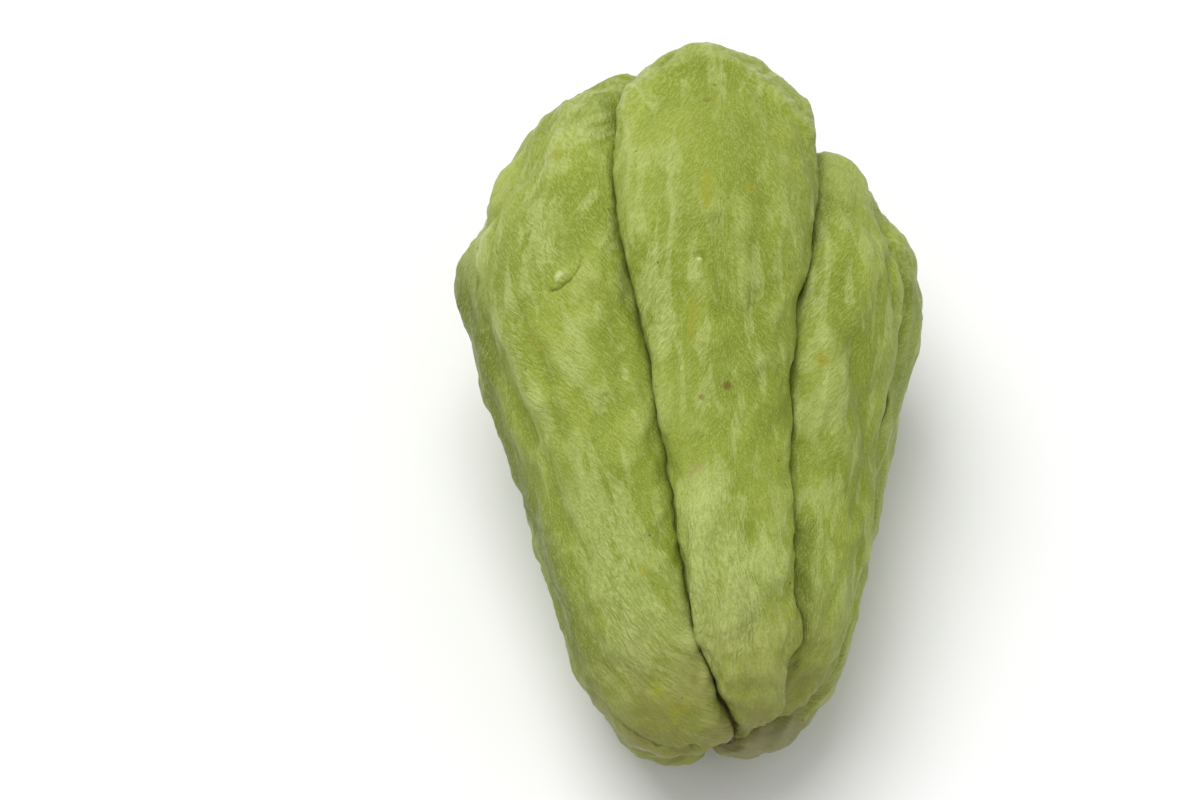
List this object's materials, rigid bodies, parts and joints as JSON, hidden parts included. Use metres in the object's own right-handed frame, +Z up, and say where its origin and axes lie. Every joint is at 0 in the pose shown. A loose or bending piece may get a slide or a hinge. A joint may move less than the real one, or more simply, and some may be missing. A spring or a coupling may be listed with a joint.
{
  "type": "chayote squash",
  "caption": "Pear-shaped, deeply furrowed green chayote squash lying on its side, a whole fresh fruit for a kitchen, shop or still life.",
  "frame": {"origin": "on the ground, under the centre of the fruit's box", "axes": "+Z up, away from the ground the fruit lies on; -Y towards the narrow stem end, +Y towards the wide blossom end; +X to the right when looking from the stem end"},
  "size_m": [0.0904, 0.14, 0.076],
  "materials": {
    "chayote_skin": "satin, slightly waxy green plant skin"
  },
  "bodies": {
    "root": {"chayote_squash": "chayote_skin"}
  },
  "joints": []
}
